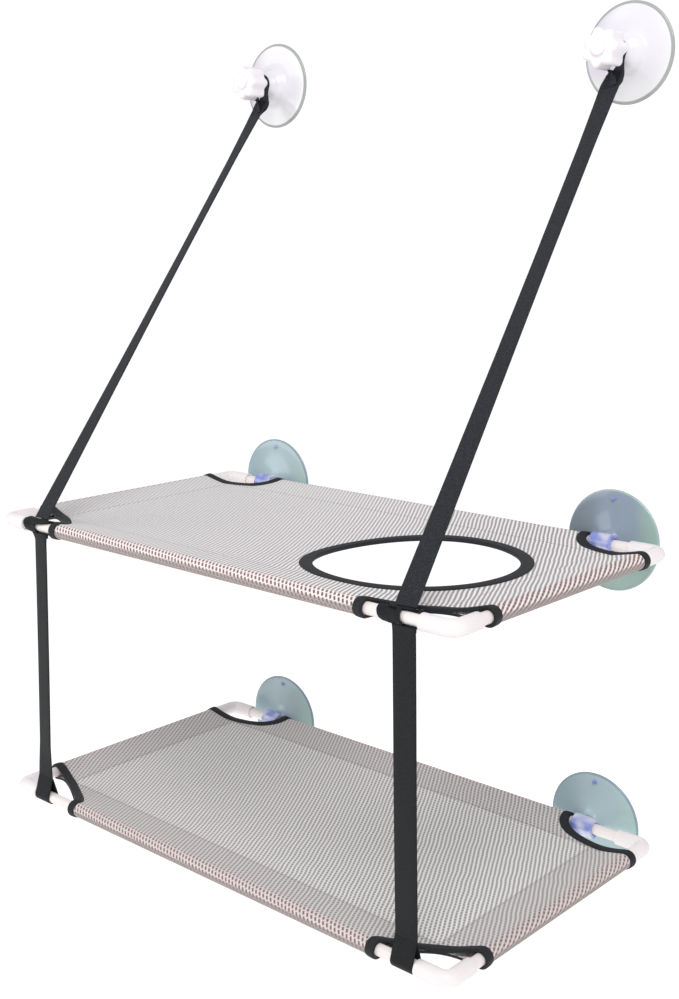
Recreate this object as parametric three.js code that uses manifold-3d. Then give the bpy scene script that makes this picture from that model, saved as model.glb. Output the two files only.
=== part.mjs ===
// Two-deck window hammock for a cat: two mesh decks on tube frames, six suction cups and four webbing straps.
// Origin: on the window pane, midway between the cups, level with the upper deck's tube axes.
// +X runs along the deck, +Y points into the pane and +Z is up. All lengths are in millimetres.
import * as THREE from "three";
import { mergeVertices } from "three/addons/utils/BufferGeometryUtils.js";
import Module from "manifold-3d";

const wasm = await Module();
wasm.setup();

// Decks: distances between tube axes
const deckLength = 600;
const deckDepth = 330;
const deckSpacing = 306;
const paneToBackTube = 20;

// Tubes and corner elbows
const tubeRadius = 6.25;
const tubeWall = 1.2;
const elbowWall = 1.45;
const elbowArm = 32;
const socketDepth = 24;

// Mesh cloth, its sleeves, the climbing hole and the bound corner cut-outs. An inset is measured inwards
// from a side tube's axis.
const clothThickness = 1.2;
const clothSag = 7;
const hemWidth = 42;
const holeRadius = 100;
const holeInset = 162;
const holeToBackTube = 175;
const strapToCut = 9;
const collarToCut = 16;
const leftFootLoopToCut = 37;
const rightFootLoopToCut = 19;
const hubToCut = 6;
const frontElbowToCut = 14;
const backElbowToCut = 3;
const strapCutBulgeShare = 0.45;
const frontCutBulgeShare = 0.2;
const backCutBulgeShare = 0.6;
const tapeThickness = 0.9;
const tapeWidth = 12;

// Suction cups
const deckCupRadius = 52;
const topCupRadius = 47;
const rimThickness = 1.6;
const rimStep = 0.9;
const rimSeatWidth = 4.5;
const cupHollow = 2.4;
const cupWall = 3;
const dishRise = 3.4;
const domeRadius = 20;
const topDomeRadius = 15.5;
const middleCupInset = 63;
const lowerCupInset = 71;
const topCupInset = 68;
const topCupHeight = 470;
const hubWall = 4.3;
const hubLength = 24;
const hubNeckRadius = 9;
const nubRadius = 2.2;
const nubHeight = 4;
const nubFromRim = 8.5;

// Neck, screw, insert and knob of a top cup
const neckRadius = 9.5;
const neckPlay = 1.2;
const screwRadius = 3;
const screwHeadRadius = 7;
const screwHeadThickness = 4.4;
const screwReach = 18;
const insertWall = 1.7;
const insertLength = 12;
const insertInset = 1.6;
const knobRadius = 19;
const knobLobeDepth = 3.6;
const knobLobes = 7;
const knobLength = 22;
const knobBevel = 1.6;
const knobCapRadius = 7;
const knobCapHeight = 2.4;

// Webbing straps
const strapWidth = 24.5;
const strapThickness = 1.5;
const neckLoopWidth = 16;
const collarWidth = 22;
const collarShift = 10.5;
const collarTuck = 5;
const collarToElbow = 1.5;
const strapToElbow = 1.75;
const footLoopToElbow = 0.55;
const strapTwistLength = 90;
const strapShiftLength = 40;
const strapStandoff = 5.4;

// Clearances and the overrun of every cut
const seatGap = 0.3;
const turnGap = 0.45;
const tapeGap = 0.45;
const hookGap = 2.2;
const overrun = 5;

// Facet counts
const tubeSides = 16;
const nubSides = 6;
const cupSides = 28;
const holeSides = 32;
const bendSteps = 6;
const cutSteps = 8;
const legSteps = 1;
const sagCells = 8;
const weld = 0.001;

// Places along X, measured inwards from the side tubes, and the cut-outs that clear what passes through them
const deckHalf = deckLength / 2;
const holeX = deckHalf - holeInset;
const middleCupX = deckHalf - middleCupInset;
const lowerCupX = deckHalf - lowerCupInset;
const topCupX = deckHalf - topCupInset;
const leftCollarX = elbowArm + collarToElbow + collarWidth / 2 - deckHalf;
const dropEdge = collarWidth / 2 - collarTuck + strapWidth;
const rightCollarX = deckHalf - elbowArm - strapToElbow - dropEdge;
const footLoopInset = elbowArm + footLoopToElbow + strapWidth;
const footLoopX = deckHalf - footLoopInset + strapWidth / 2;
const frontCutDepth = elbowArm + frontElbowToCut;
const backCutDepth = elbowArm + backElbowToCut;
const hubToCutEnd = hubLength / 2 + hubToCut;

// Radii of what goes over a tube or a screw, and the stations along a top cup's axis
const elbowRadius = tubeRadius + seatGap + elbowWall;
const hubRadius = tubeRadius + turnGap + hubWall;
const insertRadius = screwRadius + seatGap + insertWall;
const headSeat = cupHollow + cupWall;
const headEnd = headSeat + screwHeadThickness + 2 * seatGap;
const neckStart = headEnd + cupWall + dishRise;
const neckEnd = neckStart + neckLoopWidth + neckPlay;
const screwEnd = neckEnd + screwReach;

// A hem runs round its tube and slopes to a point inwards
const sleeveInner = tubeRadius + seatGap;
const sleeveOuter = sleeveInner + clothThickness;
const legSlope = Math.atan2(sleeveInner, Math.sqrt(hemWidth ** 2 - sleeveInner ** 2));
const hemTip = sleeveOuter / Math.sin(legSlope);
const quarterTurn = Math.PI / 2;

const finishes = {
  whiteTube: { color: "#f4f2f0", roughness: 0.35, metalness: 0.1 },
  whiteElbow: { color: "#f6f3f2", roughness: 0.45, metalness: 0 },
  greyMesh: { color: "#c9c4c3", roughness: 0.95, metalness: 0 },
  blackTape: { color: "#2a2c30", roughness: 0.9, metalness: 0 },
  blackWebbing: { color: "#2e3134", roughness: 0.85, metalness: 0 },
  clearPvc: { color: "#b7cbd1", roughness: 0.12, metalness: 0 },
  whiteKnob: { color: "#f7f5f6", roughness: 0.35, metalness: 0 },
  steel: { color: "#b9bcc0", roughness: 0.3, metalness: 0.9 },
};

// Solids: a three.js geometry becomes a closed solid, and back
function signedVolume(geometry) {
  const place = geometry.attributes.position;
  const corner = [new THREE.Vector3(), new THREE.Vector3(), new THREE.Vector3()];
  let volume = 0;
  for (let i = 0; i < geometry.index.count; i += 3) {
    corner.forEach((point, k) => point.fromBufferAttribute(place, geometry.index.getX(i + k)));
    volume += corner[0].dot(corner[1].cross(corner[2]));
  }
  return volume;
}

function solid(geometry) {
  const bare = geometry.clone();
  bare.deleteAttribute("normal");
  bare.deleteAttribute("uv");
  const welded = mergeVertices(bare, weld);
  const triangles = [];
  const flip = signedVolume(welded) < 0;
  for (let i = 0; i < welded.index.count; i += 3) {
    const [a, b, c] = [0, 1, 2].map((k) => welded.index.getX(i + k));
    if (a !== b && b !== c && c !== a) triangles.push(a, flip ? c : b, flip ? b : c);
  }
  return new wasm.Manifold(new wasm.Mesh({
    numProp: 3,
    vertProperties: Float32Array.from(welded.attributes.position.array),
    triVerts: Uint32Array.from(triangles),
  }));
}

function meshOf(name, shape, finish) {
  const result = shape.getMesh();
  const geometry = new THREE.BufferGeometry();
  geometry.setAttribute("position", new THREE.BufferAttribute(result.vertProperties, 3));
  geometry.setIndex(new THREE.BufferAttribute(result.triVerts, 1));
  geometry.computeVertexNormals();
  const mesh = new THREE.Mesh(geometry, new THREE.MeshStandardMaterial(finishes[finish]));
  mesh.name = name;
  return mesh;
}

function placed(geometry, x, y, z) {
  return solid(geometry.translate(x, y, z));
}

// A turned solid about the Y axis: profile points are [radius, distance in front of the pane]
function turned(profile, sides) {
  const points = profile.map(([radius, out]) => new THREE.Vector2(radius, out));
  return solid(new THREE.LatheGeometry(points, sides).rotateX(Math.PI));
}

// A round bar along an axis, centred on the origin
function bar(radius, length, axis, sides = tubeSides) {
  const geometry = new THREE.CylinderGeometry(radius, radius, length, sides);
  if (axis === "x") geometry.rotateZ(quarterTurn);
  if (axis === "z") geometry.rotateX(quarterTurn);
  return geometry;
}

function pipe(outer, inner, length, axis, x, y, z, sides = tubeSides) {
  const bore = placed(bar(inner, length + 2 * overrun, axis, sides), x, y, z);
  return placed(bar(outer, length, axis, sides), x, y, z).subtract(bore);
}

// A solid carried along stations: every ring has a point for each point of its flat section
function lofted(rings, section, closed = false) {
  const size = rings[0].length;
  const points = rings.flat();
  const triangles = [];
  const spans = closed ? rings.length : rings.length - 1;
  for (let i = 0; i < spans; i += 1) {
    for (let k = 0; k < size; k += 1) {
      const a = i * size + k;
      const b = i * size + ((k + 1) % size);
      const c = ((i + 1) % rings.length) * size + k;
      const d = ((i + 1) % rings.length) * size + ((k + 1) % size);
      triangles.push(a, b, c, b, d, c);
    }
  }
  if (!closed) {
    const last = (rings.length - 1) * size;
    const flat = section.map(([across, out]) => new THREE.Vector2(across, out));
    const ends = THREE.ShapeUtils.triangulateShape(flat, []);
    ends.forEach(([a, b, c]) => triangles.push(a, c, b, last + a, last + b, last + c));
  }
  const geometry = new THREE.BufferGeometry().setFromPoints(points);
  geometry.setIndex(triangles);
  return solid(geometry);
}

// Height of the cloth's upper face above a deck's tube axes: four sloping hems, and a sag between them
function hemHeight(distance) {
  const crown = sleeveOuter * Math.sin(legSlope);
  if (distance >= crown) return (hemTip - distance) * Math.tan(legSlope);
  return Math.sqrt(Math.max(0, sleeveOuter ** 2 - distance ** 2));
}

function sagAt(x, y) {
  const across = Math.abs(x) / (deckHalf - hemWidth);
  const along = Math.abs(y + deckDepth / 2) / (deckDepth / 2 - hemWidth);
  if (across >= 1 || along >= 1) return 0;
  return clothSag * Math.cos(quarterTurn * across) * Math.cos(quarterTurn * along);
}

function clothTop(x, y) {
  const distances = [deckHalf - Math.abs(x), -y, deckDepth + y];
  const hems = distances.map((distance) => hemHeight(Math.max(0, distance)));
  return Math.max(clothThickness / 2 - sagAt(x, y), ...hems);
}

// The outline of a hem in section: round the tube and tapering to a point inwards
function hemOutline(radius) {
  const shape = new THREE.Shape();
  const tip = radius / Math.sin(legSlope);
  const tangent = quarterTurn - legSlope;
  shape.absarc(0, 0, radius, tangent, 2 * Math.PI - tangent, false);
  shape.lineTo(tip, 0);
  shape.closePath();
  return shape;
}

function hem(radius, side) {
  const along = side === "left" || side === "right";
  const length = along ? deckDepth : deckLength;
  const settings = { depth: length, bevelEnabled: false, curveSegments: 2 * bendSteps };
  const geometry = new THREE.ExtrudeGeometry(hemOutline(radius), settings).translate(0, 0, -length / 2);
  geometry.rotateX(quarterTurn);
  const turn = { left: 0, right: Math.PI, front: quarterTurn, back: -quarterTurn }[side];
  geometry.rotateZ(turn);
  const centre = {
    left: [-deckHalf, -deckDepth / 2],
    right: [deckHalf, -deckDepth / 2],
    front: [0, -deckDepth],
    back: [0, 0],
  }[side];
  return placed(geometry, centre[0], centre[1], 0);
}

// Corner cut-outs: the four corners of a deck, each with its cut's length along X, depth along Y and bulge.
// The front ones leave room for the straps, and the back ones for the cups' hubs.
function cutCorners(leftLength, rightLength, leftBulge, cupInset) {
  const backLength = cupInset + hubToCutEnd;
  const front = { y: 1, depth: frontCutDepth };
  const back = { y: -1, depth: backCutDepth, length: backLength, bulge: backCutBulgeShare };
  return [
    { name: "front_left", x: -1, length: leftLength, bulge: leftBulge, ...front },
    { name: "front_right", x: 1, length: rightLength, bulge: frontCutBulgeShare, ...front },
    { name: "back_left", x: -1, ...back },
    { name: "back_right", x: 1, ...back },
  ];
}

const corners = {
  upper: cutCorners(
    deckHalf + leftCollarX + dropEdge + strapToCut,
    deckHalf - rightCollarX + collarWidth / 2 + collarToCut,
    strapCutBulgeShare,
    middleCupInset,
  ),
  lower: cutCorners(
    footLoopInset + leftFootLoopToCut,
    footLoopInset + rightFootLoopToCut,
    frontCutBulgeShare,
    lowerCupInset,
  ),
};

function cornerPoint(corner, u, v) {
  const x = corner.x * (deckHalf - u);
  return [x, corner.y > 0 ? -deckDepth + v : -v];
}

function cutCurve(corner) {
  return new THREE.CubicBezierCurve(
    new THREE.Vector2(corner.length, 0),
    new THREE.Vector2(corner.length, corner.depth * corner.bulge),
    new THREE.Vector2(corner.length * corner.bulge, corner.depth),
    new THREE.Vector2(0, corner.depth),
  );
}

function cornerCutter(corner) {
  const reach = sleeveOuter + overrun;
  const outline = cutCurve(corner).getPoints(cutSteps).map((point) => [point.x, point.y]);
  const points = [[-reach, -reach], [corner.length, -reach], ...outline, [-reach, corner.depth]];
  const shape = new THREE.Shape(points.map(([u, v]) => new THREE.Vector2(...cornerPoint(corner, u, v))));
  const settings = { depth: 2 * reach, bevelEnabled: false };
  return placed(new THREE.ExtrudeGeometry(shape, settings), 0, 0, -reach);
}

function meshPanel(level, hasHole) {
  const width = deckLength - 2 * hemWidth + 2 * overrun;
  const depth = deckDepth - 2 * hemWidth + 2 * overrun;
  const sheet = new THREE.BoxGeometry(width, depth, clothThickness, sagCells, sagCells, 1);
  sheet.translate(0, -deckDepth / 2, 0);
  const place = sheet.attributes.position;
  for (let i = 0; i < place.count; i += 1) {
    place.setZ(i, place.getZ(i) - sagAt(place.getX(i), place.getY(i)));
  }
  let cloth = solid(sheet);
  const sides = ["left", "right", "front", "back"];
  sides.forEach((side) => { cloth = cloth.add(hem(sleeveOuter, side)); });
  sides.forEach((side) => { cloth = cloth.subtract(hem(sleeveInner, side)); });
  corners[level].forEach((corner) => { cloth = cloth.subtract(cornerCutter(corner)); });
  if (hasHole) {
    const depthOfCut = 2 * (clothSag + overrun);
    cloth = cloth.subtract(placed(bar(holeRadius, depthOfCut, "z", holeSides), holeX, -holeToBackTube, 0));
  }
  return cloth;
}

// Folded tape over a cut edge: a flange on the cloth's outer face and a nose over the cut.
// Section points are [distance into the cloth, height over its outer face].
const tapeSection = [
  [-tapeGap, tapeGap],
  [tapeWidth / 2, tapeGap],
  [tapeWidth, tapeGap],
  [tapeWidth, tapeGap + tapeThickness],
  [tapeWidth / 2, tapeGap + tapeThickness],
  [-tapeGap - tapeThickness, tapeGap + tapeThickness],
  [-tapeGap - tapeThickness, -clothThickness],
  [-tapeGap, -clothThickness],
];

function tapeRing(place, inward, up) {
  return tapeSection.map(([into, height]) => {
    const reach = Math.max(0, into);
    const z = clothTop(place.x + inward.x * reach, place.y + inward.y * reach) + height;
    return new THREE.Vector3(place.x + inward.x * into, place.y + inward.y * into, up * z);
  });
}

function cornerBinding(corner) {
  const curve = cutCurve(corner);
  const stubShare = 0.2;
  const flatRing = (share, up) => {
    const point = curve.getPoint(share);
    const slope = curve.getTangent(share);
    const place = new THREE.Vector2(...cornerPoint(corner, point.x, point.y));
    const inward = new THREE.Vector2(-corner.x * slope.y, -corner.y * slope.x);
    return tapeRing(place, inward, up);
  };
  const bendRing = (atStart, angle) => {
    const [u, v] = atStart ? [corner.length, 0] : [0, corner.depth];
    const [x, y] = cornerPoint(corner, u, v);
    return tapeSection.map(([into, height]) => {
      const radius = sleeveOuter + height;
      const out = radius * Math.sin(angle);
      const z = radius * Math.cos(angle);
      if (atStart) return new THREE.Vector3(x - corner.x * into, y - corner.y * out, z);
      return new THREE.Vector3(x + corner.x * out, y + corner.y * into, z);
    });
  };
  const rings = [];
  for (let i = legSteps; i > 0; i -= 1) rings.push(flatRing((stubShare * i) / legSteps, -1));
  for (let i = 0; i <= bendSteps; i += 1) rings.push(bendRing(true, Math.PI * (1 - i / bendSteps)));
  for (let i = 1; i < cutSteps; i += 1) rings.push(flatRing(i / cutSteps, 1));
  for (let i = 0; i <= bendSteps; i += 1) rings.push(bendRing(false, (Math.PI * i) / bendSteps));
  for (let i = 1; i <= legSteps; i += 1) rings.push(flatRing(1 - (stubShare * i) / legSteps, -1));
  return lofted(rings, tapeSection);
}

function holeBinding() {
  const rings = [];
  for (let i = 0; i < holeSides; i += 1) {
    const angle = (2 * Math.PI * i) / holeSides;
    const inward = new THREE.Vector2(Math.cos(angle), Math.sin(angle));
    const place = new THREE.Vector2(holeX, -holeToBackTube).addScaledVector(inward, holeRadius);
    rings.push(tapeRing(place, inward, 1));
  }
  return lofted(rings, tapeSection, true);
}

// Frame of one deck: four tubes whose ends sit in the elbows' sockets
function deckFrame(level) {
  const group = new THREE.Group();
  const inset = elbowArm - socketDepth + seatGap;
  const alongX = deckLength - 2 * inset;
  const alongY = deckDepth - 2 * inset;
  const bore = tubeRadius - tubeWall;
  const tubes = {
    front: pipe(tubeRadius, bore, alongX, "x", 0, -deckDepth, 0),
    back: pipe(tubeRadius, bore, alongX, "x", 0, 0, 0),
    left: pipe(tubeRadius, bore, alongY, "y", -deckHalf, -deckDepth / 2, 0),
    right: pipe(tubeRadius, bore, alongY, "y", deckHalf, -deckDepth / 2, 0),
  };
  Object.entries(tubes).forEach(([side, shape]) => {
    group.add(meshOf(`${level}_${side}_tube`, shape, "whiteTube"));
  });
  corners[level].forEach((corner) => {
    group.add(meshOf(`${level}_${corner.name}_elbow`, elbow(corner), "whiteElbow"));
  });
  return group;
}

// Elbow: two round arms that meet in a ball, each with a blind socket
function elbow(corner) {
  const [x, y] = cornerPoint(corner, 0, 0);
  const socket = tubeRadius + seatGap;
  const start = elbowArm - socketDepth;
  const ball = new THREE.SphereGeometry(elbowRadius, tubeSides, tubeSides / 2).rotateX(quarterTurn);
  let shape = placed(ball, x, y, 0);
  const armX = x - (corner.x * elbowArm) / 2;
  const armY = y + (corner.y * elbowArm) / 2;
  shape = shape.add(placed(bar(elbowRadius, elbowArm, "x"), armX, y, 0));
  shape = shape.add(placed(bar(elbowRadius, elbowArm, "y"), x, armY, 0));
  const cutLength = socketDepth + overrun;
  const middle = start + cutLength / 2;
  shape = shape.subtract(placed(bar(socket, cutLength, "x"), x - corner.x * middle, y, 0));
  return shape.subtract(placed(bar(socket, cutLength, "y"), x, y + corner.y * middle, 0));
}

function deck(level, hasHole) {
  const group = deckFrame(level);
  group.add(meshOf(`${level}_mesh_panel`, meshPanel(level, hasHole), "greyMesh"));
  corners[level].forEach((corner) => {
    group.add(meshOf(`${level}_${corner.name}_binding`, cornerBinding(corner), "blackTape"));
  });
  if (hasHole) group.add(meshOf(`${level}_hole_binding`, holeBinding(), "blackTape"));
  return group;
}

// A cup's disc, from its hollow back round its rim to its dome, as [radius, distance in front of the pane]
const domeHeight = cupHollow + cupWall + dishRise;

function cupDisc(radius) {
  return [
    [0, cupHollow],
    [domeRadius, cupHollow],
    [radius - rimSeatWidth, 0],
    [radius, 0],
    [radius, rimThickness],
    [radius - rimSeatWidth, rimThickness + rimStep],
    [domeRadius, cupHollow + cupWall],
  ];
}

function hubCup() {
  const profile = [
    ...cupDisc(deckCupRadius),
    [hubNeckRadius, domeHeight],
    [hubNeckRadius, paneToBackTube],
    [0, paneToBackTube],
  ];
  let shape = turned(profile, cupSides);
  shape = shape.add(placed(bar(hubRadius, hubLength, "x"), 0, -paneToBackTube, 0));
  const nubLength = nubHeight + rimThickness;
  const nub = bar(nubRadius, nubLength, "y", nubSides);
  shape = shape.add(placed(nub, 0, -rimThickness - nubLength / 2, deckCupRadius - nubFromRim));
  const bore = bar(tubeRadius + turnGap, hubLength + 2 * overrun, "x");
  return shape.subtract(placed(bore, 0, -paneToBackTube, 0));
}

function screwCup() {
  const profile = [
    ...cupDisc(topCupRadius),
    [topDomeRadius, headEnd + cupWall],
    [neckRadius, neckStart],
    [neckRadius, neckEnd],
    [screwRadius + seatGap, neckEnd],
    [screwRadius + seatGap, headEnd],
    [screwHeadRadius + seatGap, headEnd],
    [screwHeadRadius + seatGap, headSeat],
    [0, headSeat],
  ];
  return turned(profile, cupSides);
}

function screw() {
  const start = headSeat + seatGap;
  const end = headEnd - seatGap;
  const profile = [
    [0, start],
    [screwHeadRadius, start],
    [screwHeadRadius, end],
    [screwRadius, end],
    [screwRadius, screwEnd],
    [0, screwEnd],
  ];
  return turned(profile, tubeSides);
}

const knobStart = neckEnd + seatGap;
const insertStart = knobStart + insertInset;

function insert() {
  const middle = -insertStart - insertLength / 2;
  return pipe(insertRadius, screwRadius + seatGap, insertLength, "y", 0, middle, 0);
}

function knob() {
  const outline = [];
  const steps = knobLobes * bendSteps;
  for (let i = 0; i < steps; i += 1) {
    const angle = (2 * Math.PI * i) / steps;
    const radius = knobRadius - knobBevel - (knobLobeDepth * (1 - Math.cos(knobLobes * angle))) / 2;
    outline.push(new THREE.Vector2(radius * Math.cos(angle), radius * Math.sin(angle)));
  }
  const settings = {
    depth: knobLength - 2 * knobBevel,
    bevelThickness: knobBevel,
    bevelSize: knobBevel,
    bevelSegments: 1,
  };
  const body = new THREE.ExtrudeGeometry(new THREE.Shape(outline), settings).rotateX(quarterTurn);
  let shape = placed(body, 0, -knobStart - knobBevel, 0);
  const capLength = knobCapHeight + knobBevel;
  const capMiddle = -knobStart - knobLength + knobBevel - capLength / 2;
  shape = shape.add(placed(bar(knobCapRadius, capLength, "y"), 0, capMiddle, 0));
  const pocketLength = insertInset + insertLength + seatGap + overrun;
  const pocketMiddle = -knobStart + overrun - pocketLength / 2;
  shape = shape.subtract(placed(bar(insertRadius + seatGap, pocketLength, "y"), 0, pocketMiddle, 0));
  const wellEnd = screwEnd + 2 * seatGap;
  const wellLength = wellEnd - knobStart;
  const wellMiddle = -knobStart - wellLength / 2;
  return shape.subtract(placed(bar(screwRadius + 2 * seatGap, wellLength, "y"), 0, wellMiddle, 0));
}

// Flat webbing carried through stations: each has a centre, a half-width vector and a half-thickness vector
const webbingShares = [[-1, -1], [1, -1], [1, 1], [-1, 1]];

function webbing(stations) {
  const rings = stations.map(({ centre, wide, thick }) => webbingShares.map(([across, out]) => (
    centre.clone().addScaledVector(wide, across).addScaledVector(thick, out)
  )));
  return lofted(rings, webbingShares);
}

function station(centre, direction, wideHint) {
  const wide = wideHint.clone().addScaledVector(direction, -wideHint.dot(direction)).normalize();
  const thick = new THREE.Vector3().crossVectors(direction, wide).setLength(strapThickness / 2);
  return { centre, wide: wide.multiplyScalar(strapWidth / 2), thick };
}

const loopInner = tubeRadius + turnGap;
const loopOuter = loopInner + strapThickness;

// Slanted strap: a loop round the cup's neck, a quarter turn, a straight run, a collar round the front tube
function slantedStrap(cupX, collarX) {
  const neckInner = neckRadius + seatGap;
  const neckMiddle = neckEnd - seatGap - neckLoopWidth / 2;
  const top = new THREE.Vector3(cupX, -neckMiddle, topCupHeight);
  const frontY = -paneToBackTube - deckDepth;
  const foot = new THREE.Vector3(collarX, frontY, loopOuter - strapThickness / 2);
  const straight = new THREE.Vector3(collarX + collarShift, foot.y, foot.z);
  const down = new THREE.Vector3(0, 0, -1);
  const alongY = new THREE.Vector3(0, 1, 0);
  const alongX = new THREE.Vector3(1, 0, 0);
  const bend = top.clone().addScaledVector(down, knobRadius + strapThickness);
  const direction = straight.clone().sub(bend).normalize();
  const stations = [];
  const addStation = (centre, heading, wideHint, width) => {
    const row = station(centre, heading, wideHint);
    row.wide.setLength(width / 2);
    stations.push(row);
  };
  addStation(top.clone().addScaledVector(down, neckInner), down, alongY, neckLoopWidth);
  const turnSteps = bendSteps / 2;
  for (let i = 0; i <= turnSteps; i += 1) {
    const share = i / turnSteps;
    const centre = bend.clone().addScaledVector(direction, share * strapTwistLength);
    const width = THREE.MathUtils.lerp(neckLoopWidth, strapWidth, share);
    addStation(centre, i === 0 ? down : direction, alongY.clone().lerp(alongX, share), width);
  }
  const knee = straight.clone().addScaledVector(direction, -strapShiftLength);
  addStation(knee, direction, alongX, strapWidth);
  addStation(foot, foot.clone().sub(knee).normalize(), alongX, strapWidth);
  const neckOuter = neckInner + strapThickness;
  const neckLoop = pipe(neckOuter, neckInner, neckLoopWidth, "y", cupX, -neckMiddle, topCupHeight, cupSides);
  const collar = pipe(loopOuter, loopInner, collarWidth, "x", collarX, frontY, 0, cupSides);
  const tubeRoom = placed(bar(loopInner, deckLength, "x", cupSides), 0, frontY, 0);
  const neckRoom = placed(bar(neckInner, 2 * neckEnd, "y", cupSides), cupX, -neckMiddle, topCupHeight);
  return webbing(stations).subtract(tubeRoom).subtract(neckRoom).add(neckLoop).add(collar);
}

// Drop strap: it comes over the back of the upper front tube and under it, leaves it on the room side so that
// it clears the hem of a folded deck, and ends in a loop round the lower front tube
function dropStrap(collarX, footX) {
  const frontY = -paneToBackTube - deckDepth;
  const hookLeft = collarX + collarWidth / 2 + hookGap;
  const hookRight = collarX + dropEdge;
  const hookWidth = hookRight - hookLeft;
  const hookX = (hookLeft + hookRight) / 2;
  const seam = loopInner + strapThickness / 2;
  const cutWidth = hookWidth + overrun;
  const cutDepth = 2 * loopOuter;
  const cutFrom = (y) => frontY - y - strapThickness / 2 - cutDepth / 2;
  const upperFront = new THREE.BoxGeometry(cutWidth, cutDepth, cutDepth);
  const lowerFront = new THREE.BoxGeometry(cutWidth, cutDepth, cutDepth + overrun);
  const hook = pipe(loopOuter, loopInner, hookWidth, "x", hookX, frontY, 0, cupSides)
    .subtract(placed(upperFront, hookX, cutFrom(0), cutDepth / 2))
    .subtract(placed(lowerFront, hookX, cutFrom(strapStandoff), 0));
  const leave = Math.sqrt(seam ** 2 - strapStandoff ** 2);
  const rows = [
    [hookX, -strapStandoff, -leave, hookWidth],
    [hookX, -strapStandoff, -loopOuter - seatGap, hookWidth],
    [hookRight - strapWidth / 2, -strapStandoff, -loopOuter - collarTuck, strapWidth],
    [footX, 0, seam - deckSpacing, strapWidth],
  ];
  const down = new THREE.Vector3(0, 0, -1);
  const alongX = new THREE.Vector3(1, 0, 0);
  const stations = rows.map(([x, y, z, width]) => {
    const row = station(new THREE.Vector3(x, frontY + y, z), down, alongX);
    row.wide.setLength(width / 2);
    return row;
  });
  const loop = pipe(loopOuter, loopInner, strapWidth, "x", footX, frontY, -deckSpacing, cupSides);
  return webbing(stations).add(hook).add(loop);
}

const hammock = new THREE.Group();

const upperDeck = deck("upper", true);
upperDeck.position.set(0, -paneToBackTube, 0);
hammock.add(upperDeck);
const lowerDeck = deck("lower", false);
lowerDeck.position.set(0, -paneToBackTube, -deckSpacing);
hammock.add(lowerDeck);

function addPiece(name, shape, finish, x, z) {
  const mesh = meshOf(name, shape, finish);
  mesh.position.set(x, 0, z);
  hammock.add(mesh);
}

[["left", -1], ["right", 1]].forEach(([side, way]) => {
  addPiece(`middle_${side}_suction_cup`, hubCup(), "clearPvc", way * middleCupX, 0);
  addPiece(`lower_${side}_suction_cup`, hubCup(), "clearPvc", way * lowerCupX, -deckSpacing);
  addPiece(`top_${side}_suction_cup`, screwCup(), "clearPvc", way * topCupX, topCupHeight);
  addPiece(`${side}_screw`, screw(), "steel", way * topCupX, topCupHeight);
  addPiece(`${side}_knob_insert`, insert(), "steel", way * topCupX, topCupHeight);
  addPiece(`${side}_knob`, knob(), "whiteKnob", way * topCupX, topCupHeight);
});

hammock.add(meshOf("left_slanted_strap", slantedStrap(-topCupX, leftCollarX), "blackWebbing"));
hammock.add(meshOf("right_slanted_strap", slantedStrap(topCupX, rightCollarX), "blackWebbing"));
hammock.add(meshOf("left_drop_strap", dropStrap(leftCollarX, -footLoopX), "blackWebbing"));
hammock.add(meshOf("right_drop_strap", dropStrap(rightCollarX, footLoopX), "blackWebbing"));

export default hammock;
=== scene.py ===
"""Two-deck window hammock for a cat: its looks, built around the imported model.

Metres, +X along the decks, +Y into the window pane, +Z up. The origin is on the pane, midway between the left
and right cups, level with the upper deck's tubes.
"""
import math
from functools import partial

import bmesh
import bpy
import numpy as np
from mathutils import Matrix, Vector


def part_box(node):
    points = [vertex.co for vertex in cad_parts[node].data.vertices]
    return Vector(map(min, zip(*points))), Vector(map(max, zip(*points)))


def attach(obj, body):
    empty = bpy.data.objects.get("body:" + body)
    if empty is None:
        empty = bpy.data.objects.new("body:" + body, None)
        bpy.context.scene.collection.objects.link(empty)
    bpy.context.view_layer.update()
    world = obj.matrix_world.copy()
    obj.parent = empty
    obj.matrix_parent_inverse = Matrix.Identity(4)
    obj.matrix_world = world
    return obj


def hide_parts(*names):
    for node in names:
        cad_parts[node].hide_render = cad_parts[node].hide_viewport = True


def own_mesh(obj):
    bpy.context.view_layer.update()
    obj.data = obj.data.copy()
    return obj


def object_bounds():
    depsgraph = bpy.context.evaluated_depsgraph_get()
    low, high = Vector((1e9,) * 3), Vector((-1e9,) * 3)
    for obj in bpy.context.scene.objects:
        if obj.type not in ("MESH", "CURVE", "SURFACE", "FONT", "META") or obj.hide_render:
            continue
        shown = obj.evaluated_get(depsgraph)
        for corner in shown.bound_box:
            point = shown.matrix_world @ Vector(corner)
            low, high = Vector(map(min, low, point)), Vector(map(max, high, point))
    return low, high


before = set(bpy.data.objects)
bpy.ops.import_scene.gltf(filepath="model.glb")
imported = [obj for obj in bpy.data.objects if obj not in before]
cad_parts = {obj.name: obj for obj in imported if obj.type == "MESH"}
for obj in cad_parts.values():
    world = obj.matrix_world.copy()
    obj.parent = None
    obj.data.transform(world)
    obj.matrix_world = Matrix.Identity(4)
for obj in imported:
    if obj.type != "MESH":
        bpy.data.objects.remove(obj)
cad_box = [list(corner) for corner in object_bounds()]


# Camera and studio. The camera stands right of the hammock, a little above its upper deck, in a white studio:
# a bright surround, one large soft lamp above on the right, a weaker one on the left, and a pale floor.
def linear(code):
    """An sRGB hex colour as linear RGBA: small values over 12.92, the rest raised to the power of 2.4."""
    part = np.array([int(code[i:i + 2], 16) for i in (1, 3, 5)]) / 255
    curve = np.where(part <= 0.04045, part / 12.92, ((part + 0.055) / 1.055) ** 2.4)
    return (*curve.tolist(), 1.0)


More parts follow.
